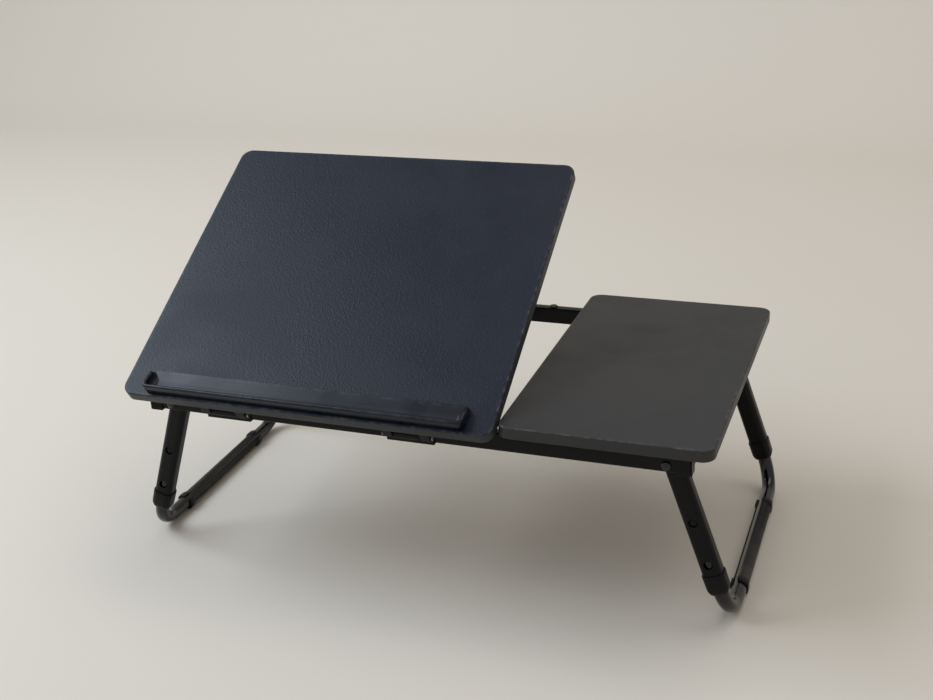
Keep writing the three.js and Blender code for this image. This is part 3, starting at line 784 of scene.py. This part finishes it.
@dataclass
class LegSet:
    """One folding leg set: two flat-oval tubes, their collars and a U-shaped foot."""

    side: str
    datum: Datum
    palette: Palette
    half_span: float = 0.143
    tube_radius: float = 0.0075
    tube_wall: float = 0.0012
    bend: float = 0.034
    arm_top: float = 0.048
    sleeve_radius: float = 0.0088
    sleeve_half: float = 0.087
    rim_radius: float = 0.0100
    sleeve_gap: float = math.radians(46)
    sleeve_rise: float = math.radians(52)

    @property
    def reach(self) -> float:
        """Distance along the leg from the pivot line to the bar's middle."""
        return (self.datum.leg_pivots[self.side].z - self.sleeve_radius) / math.cos(self.datum.splay)

    def foot_path(self, arc_steps: int = 20) -> tuple[Array, Array]:
        """Centre line of the foot: down one arm, round a quarter circle, along the bar and back up.

        Args:
            arc_steps: steps on each quarter circle.

        Returns:
            Points and unit directions, both (M, 3).
        """
        a = np.linspace(0.0, math.pi / 2, arc_steps + 1)
        y0, z0 = self.half_span - self.bend, -self.reach + self.bend
        first = np.stack([0 * a, -y0 - self.bend * np.cos(a), z0 - self.bend * np.sin(a)], axis=1)
        first_way = np.stack([0 * a, np.sin(a), -np.cos(a)], axis=1)
        second = first[::-1] * [1, -1, 1]
        second_way = first_way[::-1] * [1, 1, -1]
        top = np.array([[0, -self.half_span, -self.arm_top]])
        down = np.array([[0.0, 0.0, -1.0]])
        points = np.concatenate([top, first, second, top * [1, -1, 1]])
        ways = np.concatenate([down, first_way, second_way, -down])
        return points, ways

    def build_foot(self) -> None:
        """Sweeps the hollow foot tube: outer wall out, inner wall back."""
        path, ways = self.foot_path()
        turn = np.linspace(0.0, 2 * math.pi, 40, endpoint=False)
        unit = np.stack([np.cos(turn), np.sin(turn)], axis=1)
        across = np.array([1.0, 0.0, 0.0])
        outer = carry(unit * self.tube_radius, path, ways, across)
        inner = carry(unit * (self.tube_radius - self.tube_wall), path, ways, across)[::-1]
        place = self.datum.leg(self.side)
        made = loft(f"{self.side}_foot_bend", place.points(np.concatenate([outer, inner])), ring=True)
        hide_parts(f"{self.side}_foot_tube")
        self.palette.dress(made, "gloss_paint", f"{self.side}_foot")

    def build_sleeve(self) -> None:
        """Sweeps the split sleeve's C-shaped section along the bar, with wider rims at both ends.

        A rim's radius is the smaller of the full rim radius and the floor's distance in that
        direction, so the rims lie flat on the floor; the outward side is limited in the same way.
        """
        sign = 1 if self.side == "right" else -1
        rise = math.pi - self.sleeve_rise if sign > 0 else self.sleeve_rise
        middle = rise - sign * self.datum.splay
        turn = np.linspace(middle + self.sleeve_gap / 2, middle + 2 * math.pi - self.sleeve_gap / 2, 60)
        unit = np.stack([np.cos(turn), np.sin(turn)], axis=1)
        ends = self.sleeve_half
        stations = np.array([
            [-ends, 0.55], [-ends + 0.0005, 0.9], [-ends + 0.0012, 1.0], [-ends + 0.0080, 1.0],
            [-ends + 0.0088, 0.85],
            [-ends + 0.0094, 0.1], [-ends + 0.0098, 0.0], [ends - 0.0098, 0.0], [ends - 0.0094, 0.1],
            [ends - 0.0088, 0.85], [ends - 0.0080, 1.0], [ends - 0.0012, 1.0], [ends - 0.0005, 0.9], [ends, 0.55],
        ])
        from_down = turn - (-math.pi / 2 - sign * self.datum.splay)
        flat = self.sleeve_radius / np.clip(np.cos(from_down), 0.5, 1.0)
        outward = (0.0 if sign > 0 else math.pi) - sign * self.datum.splay
        side = self.sleeve_radius / np.clip(np.cos(turn - outward), 0.5, 1.0)
        wide = np.minimum(np.minimum(flat, side), self.rim_radius)
        plain = self.sleeve_radius - 0.0006
        loops = []
        for y, share in stations:
            outer = (plain + share * (wide - plain))[:, None] * unit
            ring = np.concatenate([outer, unit[::-1] * 0.0078])
            loops.append(np.stack([ring[:, 0], np.full(len(ring), y), ring[:, 1] - self.reach], axis=1))
        made = loft(f"{self.side}_foot_grip", self.datum.leg(self.side).points(np.array(loops)))
        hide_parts(f"{self.side}_foot_sleeve")
        self.palette.dress(made, "matt_rubber", f"{self.side}_foot")

    def build_collar(self, name: str, sy: int) -> None:
        """Lofts a collar: a lipped sleeve over the leg tube that tapers in to the foot tube's bore.

        Args:
            name: the leg's name, such as left_front.
            sy: -1 for the front leg and 1 for the rear one.
        """
        wide, deep, corner = 0.0231, 0.0206, 0.0073
        rows = (
            (0.1310, 0.0009), (0.1312, 0.0003), (0.1317, 0.0), (0.1336, 0.0), (0.1340, 0.0004),
            (0.1345, 0.0004), (0.1350, 0.0001), (0.1470, 0.0003), (0.1490, 0.0006), (0.1520, 0.0019),
            (0.1528, 0.0024), (0.1530, 0.0028),
        )
        loops = [self.ring(wide - 2 * inset, deep - 2 * inset, corner - inset, t) for t, inset in rows]
        loops += [self.ring(0.0156, 0.0156, 0.0078, t) for t in (0.1530, 0.1526, 0.1463)]
        loops += [self.ring(0.0211, 0.0186, 0.0063, t) for t in (0.1463, 0.1310)]
        local = np.array(loops) + [0.0, sy * self.half_span, 0.0]
        placed = self.datum.leg(self.side).points(local)
        made = loft(f"{name}_collar_shape", placed, ring=True, sharp_deg=30.0)
        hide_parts(f"{name}_collar")
        self.palette.dress(made, "moulded_plastic", f"{self.side}_leg")

    @staticmethod
    def ring(width: float, depth: float, corner: float, along: float) -> Array:
        """A rounded outline across the leg at a distance along it."""
        outline = rounded_outline(width, depth, corner, 10)
        return np.concatenate([outline, np.full((len(outline), 1), -along)], axis=1)

    def build(self) -> None:
        """Builds the whole set."""
        self.build_foot()
        self.build_sleeve()
        for end in ("front", "rear"):
            name = f"{self.side}_{end}"
            tube = softened_copy(f"{name}_leg_tube", 0.0002, segments=2)
            self.palette.dress(tube, "satin_paint", f"{self.side}_leg")
            head = softened_copy(f"{name}_leg_head", 0.0005)
            self.palette.dress(head, "moulded_plastic", f"{self.side}_leg")
            self.build_collar(name, -1 if end == "front" else 1)
            button = softened_copy(f"{name}_button", 0.00025)
            self.palette.dress(button, "moulded_plastic", f"{name}_button")
            spring = softened_copy(f"{name}_button_spring", 0.0001, segments=1)
            self.palette.dress(spring, "zinc_steel", f"{name}_button")


@dataclass
class TubeFrame:
    """Rails, crossbars, corner pieces, pins, spacers and the channel with its rack."""

    datum: Datum
    palette: Palette

    def build(self) -> None:
        """Rounds and dresses each piece of the frame."""
        for node, width, finish in (
            ("front_rail", 0.0003, "satin_paint"),
            ("rear_rail", 0.0003, "satin_paint"),
            ("left_end_crossbar", 0.0003, "satin_paint"),
            ("right_end_crossbar", 0.0003, "satin_paint"),
            ("tilt_channel", 0.0004, "satin_paint"),
            ("tilt_rack", 0.0003, "moulded_plastic"),
            ("front_side_panel_spacer", 0.0003, "matt_rubber"),
            ("rear_side_panel_spacer", 0.0003, "matt_rubber"),
            ("left_rest_pad", 0.0003, "matt_rubber"),
            ("right_rest_pad", 0.0003, "matt_rubber"),
        ):
            self.palette.dress(softened_copy(node, width), finish, "frame")
        for side in ("left", "right"):
            for end in ("front", "rear"):
                for part in ("corner_bracket", "rail_end_plug"):
                    made = softened_copy(f"{side}_{end}_{part}", 0.0005)
                    self.palette.dress(made, "moulded_plastic", "frame")
                self.palette.dress(softened_copy(f"{side}_{end}_pivot_pin", 0.0002), "gloss_paint", "frame")


@dataclass
class TiltWorks:
    """Hinges, clips and the stay that holds the tilting panel up."""

    datum: Datum
    palette: Palette

    def build(self) -> None:
        """Rounds and dresses each piece of the tilt gear."""
        for side in ("left", "right"):
            self.palette.dress(softened_copy(f"{side}_hinge_base", 0.0004), "moulded_plastic", "frame")
            self.palette.dress(softened_copy(f"{side}_hinge_pin", 0.0003), "zinc_steel", "frame")
            self.palette.dress(softened_copy(f"{side}_hinge_leaf", 0.0004), "moulded_plastic", "tilt_panel")
            self.palette.dress(softened_copy(f"{side}_stay_clip", 0.0004), "moulded_plastic", "tilt_panel")
        self.palette.dress(softened_copy("tilt_stay_arm", 0.0004), "satin_paint", "stay")
        self.palette.dress(softened_copy("stay_pivot_rod", 0.0002), "zinc_steel", "stay")
        self.palette.dress(softened_copy("stay_foot_rod", 0.0002), "zinc_steel", "stay")


@dataclass
class Screws:
    """Domed cross-head screw heads on the undersides, each sitting on the face it holds."""

    datum: Datum
    palette: Palette
    head: float = 0.0026
    rise: float = 0.0011
    slot_depth: float = 0.0007
    slot_width: float = 0.0005

    def cap(self, radius: Array, angle: Array) -> Array:
        """Height of the head: a dome less a cross cut near its middle.

        Args:
            radius: distances from the middle, as a share of the head's radius.
            angle: angles round it.

        Returns:
            Heights in metres.
        """
        dome = self.rise * np.sqrt(np.clip(1.0 - 0.82 * radius**2, 0.0, 1.0))
        x, y = radius * self.head * np.cos(angle), radius * self.head * np.sin(angle)
        arm = np.minimum(np.abs(x), np.abs(y))
        inside_arm = np.clip((self.slot_width - arm) / 0.0002, 0.0, 1.0)
        cut = inside_arm * np.clip((0.62 - radius) / 0.08, 0.0, 1.0)
        return dome - self.slot_depth * cut

    def add(self, name: str, place: Vector, out: Vector, body: str) -> None:
        """Adds one screw: rings from the head's middle to its rim, then down to the face.

        Args:
            name: the piece's name.
            place: the point on the face that the head sits on.
            out: the direction that the head points.
            body: the body it moves with.
        """
        turn = np.linspace(0.0, 2 * math.pi, 40, endpoint=False)
        radius = np.array([0.02, 0.1, 0.16, 0.22, 0.3, 0.4, 0.52, 0.58, 0.64, 0.75, 0.88, 1.0])
        r, a = np.meshgrid(radius, turn, indexing="ij")
        loops = np.stack([r * self.head * np.cos(a), r * self.head * np.sin(a), self.cap(r, a)], axis=-1)
        base = np.stack([self.head * np.cos(turn), self.head * np.sin(turn), np.full(40, 0.00005)], axis=-1)
        turned = out.to_track_quat("Z", "Y").to_matrix()
        local = np.concatenate([loops, base[None]])
        points = local @ np.array(turned).T + np.array(place)
        made = loft(name, points, marks={"rim": np.append(radius > 0.8, False) * 0.7}, sharp_deg=50.0)
        self.palette.dress(made, "black_screw", body)

    def build(self) -> None:
        """Places the screws of the rails, crossbars, hinge leaves, clips and book stop."""
        down, middle = Vector((0, 0, -1)), self.datum.middle_y
        for end, sy in (("front", -1), ("rear", 1)):
            low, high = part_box(f"{end}_rail")
            y = (low.y + high.y) / 2
            for i, x in enumerate((-0.012, 0.012, 0.130, 0.255)):
                self.add(f"{end}_rail_screw_{i}", Vector((x, y, low.z)), down, "frame")
            for side, sx in (("left", -1), ("right", 1)):
                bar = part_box(f"{side}_end_crossbar")
                x = (bar[0].x + bar[1].x) / 2
                spot = Vector((x, middle + sy * 0.130, bar[0].z))
                self.add(f"{side}_{end}_crossbar_screw", spot, down, "frame")
        tilted = self.datum.tilted()
        under = Vector(tuple(tilted.points(np.array([[0.0, 0.0, -1.0]]))[0])) - self.datum.tilt_axis
        leaf = self.datum.table_top - BOARD_THICKNESS - 0.0017 - self.datum.tilt_axis.z
        for side in ("left", "right"):
            low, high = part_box(f"{side}_hinge_leaf")
            centre = (low.x + high.x) / 2
            spots = [(dx, y) for y in (0.0255, 0.0335) for dx in (-0.018, 0.018)]
            for i, (dx, y) in enumerate(spots):
                spot = tilted.points(np.array([[centre + dx, y, leaf]]))[0]
                self.add(f"{side}_hinge_screw_{i}", Vector(tuple(spot)), under, "tilt_panel")
            low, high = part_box(f"{side}_stay_clip")
            for i, dy in enumerate((-0.0095, 0.0095)):
                spot = tilted.points(np.array([[(low.x + high.x) / 2, 0.1598 + dy, leaf - 0.0002]]))[0]
                self.add(f"{side}_clip_screw_{i}", Vector(tuple(spot)), under, "tilt_panel")
        board = self.datum.table_top - 0.012 - self.datum.tilt_axis.z
        for i, x in enumerate((-0.2576, -0.1037, 0.0502)):
            spot = tilted.points(np.array([[x, 0.0115, board]]))[0]
            self.add(f"stop_screw_{i}", Vector(tuple(spot)), under, "tilt_panel")


# ---------------------------------------------------------------- stage, light and camera


@dataclass
class Studio:
    """Pale floor that curves up into a pale backdrop, soft light and the camera."""

    camera_place: tuple[float, float, float] = (0.4871, -1.2089, 0.7700)
    azimuth: float = math.radians(21.47)
    elevation: float = math.radians(23.44)
    roll: float = math.radians(-3.2)
    lens: float = 50.0

    def build_floor(self) -> None:
        """Carries a profile of floor, quarter circle and wall along X."""
        bend = np.linspace(0.0, math.pi / 2, 24)
        radius, back = 0.6, 1.6
        profile = np.concatenate([
            [[-5.0, 0.0]],
            np.stack([back + radius * np.sin(bend), radius - radius * np.cos(bend)], axis=1),
            [[back + radius, 5.0]],
        ])
        x = np.linspace(-6.0, 6.0, 2)
        grid = np.stack(
            [np.repeat(x, len(profile)), np.tile(profile[:, 0], 2), np.tile(profile[:, 1], 2)], axis=1
        )
        n = len(profile)
        faces = [(i, n + i, n + i + 1, i + 1) for i in range(n - 1)]
        floor = make_mesh("floor", grid, faces)
        material = bpy.data.materials.new("pale_floor")
        material.use_nodes = True
        shader = material.node_tree.nodes["Principled BSDF"]
        shader.inputs["Base Color"].default_value = (0.665, 0.615, 0.545, 1.0)
        shader.inputs["Roughness"].default_value = 0.7
        floor.data.materials.append(material)

    def add_light(
        self,
        name: str,
        place: Vector,
        aim: Vector,
        size: tuple[float, float],
        power: float,
        colour: tuple[float, float, float],
    ) -> None:
        """Adds a soft rectangular light.

        Args:
            name: the light's name.
            place: where it hangs.
            aim: the point it faces.
            size: its width and height.
            power: watts.
            colour: its colour.
        """
        data = bpy.data.lights.new(name, "AREA")
        data.shape = "RECTANGLE"
        data.size, data.size_y = size
        data.energy = power
        data.color = colour
        made = bpy.data.objects.new(name, data)
        made.location = place
        made.rotation_mode = "QUATERNION"
        made.rotation_quaternion = (aim - place).to_track_quat("-Z", "Y")
        bpy.context.scene.collection.objects.link(made)

    def build_light(self) -> None:
        """One large window-like light from the upper left, a weak fill and an even surround."""
        target = Vector((0.0, 0.0, 0.2))
        self.add_light("window", Vector((-2.0, -0.5, 2.2)), target, (2.0, 1.6), 56.0, (0.76, 0.88, 1.0))
        self.add_light("fill", Vector((0.6, 0.9, 3.0)), target, (2.4, 1.2), 16.0, (1.0, 0.97, 0.92))
        world = bpy.data.worlds.new("surround")
        world.use_nodes = True
        world.node_tree.nodes["Background"].inputs["Color"].default_value = (1.0, 0.985, 0.965, 1.0)
        world.node_tree.nodes["Background"].inputs["Strength"].default_value = 0.55
        bpy.context.scene.world = world
        bpy.context.scene.view_settings.view_transform = "Standard"

    def build_camera(self) -> None:
        """Sets the camera from its place, its two angles and its roll."""
        data = bpy.data.cameras.new("camera")
        data.lens = self.lens
        data.sensor_width = 36.0
        camera = bpy.data.objects.new("camera", data)
        a, e, c, s = self.azimuth, self.elevation, math.cos(self.roll), math.sin(self.roll)
        back = Vector((math.sin(a) * math.cos(e), -math.cos(a) * math.cos(e), math.sin(e)))
        right = Vector((math.cos(a), math.sin(a), 0.0))
        up = back.cross(right)
        turn = Matrix((c * right + s * up, -s * right + c * up, back)).transposed().to_4x4()
        camera.matrix_world = Matrix.Translation(Vector(self.camera_place)) @ turn
        bpy.context.scene.collection.objects.link(camera)
        bpy.context.scene.camera = camera

    def build(self) -> None:
        """Builds the whole stage."""
        self.build_floor()
        self.build_light()
        self.build_camera()


def main() -> None:
    """Builds the table's pieces in order."""
    logging.basicConfig(level=logging.INFO, format="%(name)s %(message)s")
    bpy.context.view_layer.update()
    datum, palette = Datum(), Palette()
    Studio().build()
    Boards(datum, palette).build()
    BookStop(datum, palette).build()
    TubeFrame(datum, palette).build()
    TiltWorks(datum, palette).build()
    for side in ("left", "right"):
        LegSet(side, datum, palette).build()
    Screws(datum, palette).build()


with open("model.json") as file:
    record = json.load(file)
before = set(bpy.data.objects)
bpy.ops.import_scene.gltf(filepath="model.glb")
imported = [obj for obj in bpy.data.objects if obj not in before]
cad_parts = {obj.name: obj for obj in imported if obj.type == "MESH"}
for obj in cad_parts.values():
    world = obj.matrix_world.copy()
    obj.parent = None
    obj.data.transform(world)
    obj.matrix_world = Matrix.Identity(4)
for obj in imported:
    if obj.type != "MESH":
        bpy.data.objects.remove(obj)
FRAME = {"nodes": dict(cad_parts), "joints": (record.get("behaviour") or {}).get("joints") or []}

if __name__ == "__main__":
    main()
